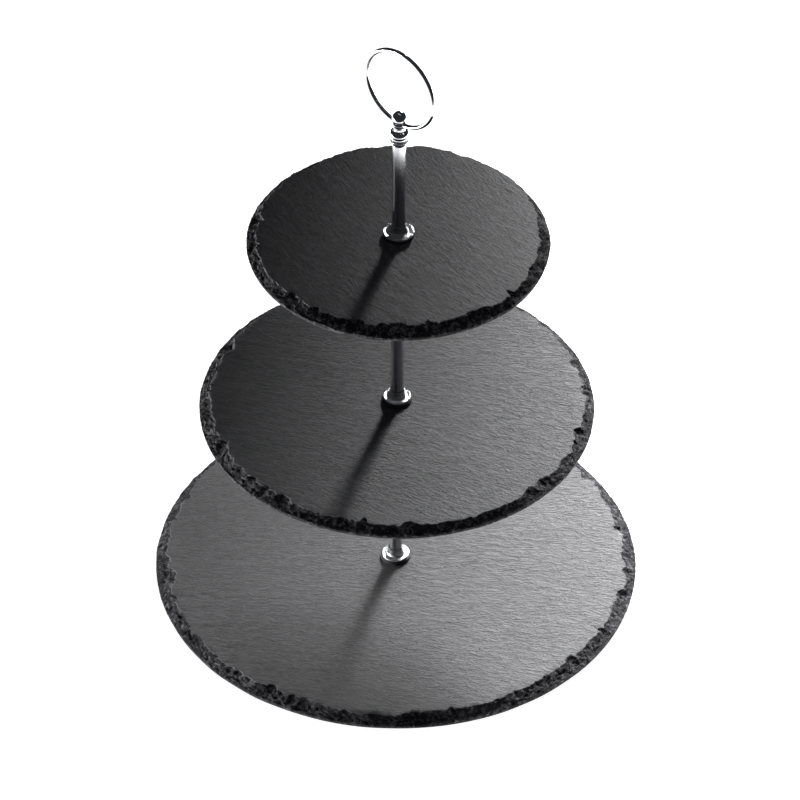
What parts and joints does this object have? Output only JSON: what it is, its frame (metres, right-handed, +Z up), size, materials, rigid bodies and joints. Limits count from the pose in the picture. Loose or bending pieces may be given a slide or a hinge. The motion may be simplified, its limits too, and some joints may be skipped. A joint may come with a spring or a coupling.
{
  "type": "tiered cake stand",
  "caption": "Tiered cake stand: round knapped slate plates on a slim chromed post with dished rod feet, a turned finial and a swinging carrying ring.",
  "frame": {"origin": "on the table, under the middle line of the post", "axes": "+Z up along the post; the ring's plane stands 40 degrees clockwise from the XZ plane, seen from above"},
  "size_m": [0.3, 0.3, 0.4064],
  "materials": {
    "slate": "matt, riven, with knapped edges",
    "chrome": "bright polished plate",
    "zinc_plate": "satin zinc plate",
    "rubber": "matt black moulded"
  },
  "bodies": {
    "stand": {"bottom_plate": "slate", "middle_plate": "slate", "top_plate": "slate", "upper_rod": "chrome", "upper_flange": "chrome", "middle_rod": "chrome", "middle_flange": "chrome", "lower_rod": "chrome", "lower_flange": "chrome", "top_plate_washer": "chrome", "middle_plate_washer": "chrome", "top_plate_stud": "zinc_plate", "middle_plate_stud": "zinc_plate", "base_screw": "zinc_plate", "base_washer": "zinc_plate", "upper_gasket": "rubber", "middle_gasket": "rubber", "lower_gasket": "rubber", "top_plate_under_gasket": "rubber", "middle_plate_under_gasket": "rubber", "base_under_gasket": "rubber", "foot_1": "rubber", "foot_2": "rubber", "foot_3": "rubber", "foot_4": "rubber"},
    "finial_screw": {"finial_stud": "zinc_plate"},
    "finial_knob": {"finial": "chrome"},
    "ring": {"ring_handle": "chrome"}
  },
  "joints": [
    {"name": "finial_rise", "type": "slide", "parent": "stand", "child": "finial_screw", "axis": [0, 0, 1], "range_m": [0, 0.0096]},
    {"name": "finial_turn", "type": "hinge", "parent": "finial_screw", "child": "finial_knob", "pos_m": [0, 0, 0.33904], "axis": [0, 0, 1], "range_deg": [0, 4320]},
    {"name": "ring_swing", "type": "hinge", "parent": "finial_knob", "child": "ring", "pos_m": [0, 0, 0.35394], "axis": [0.766, -0.6428, 0], "range_deg": [-173, 173]}
  ],
  "couplings": [
    {"joint": "finial_turn", "follows": "finial_rise", "rad_per_m": 7854}
  ]
}
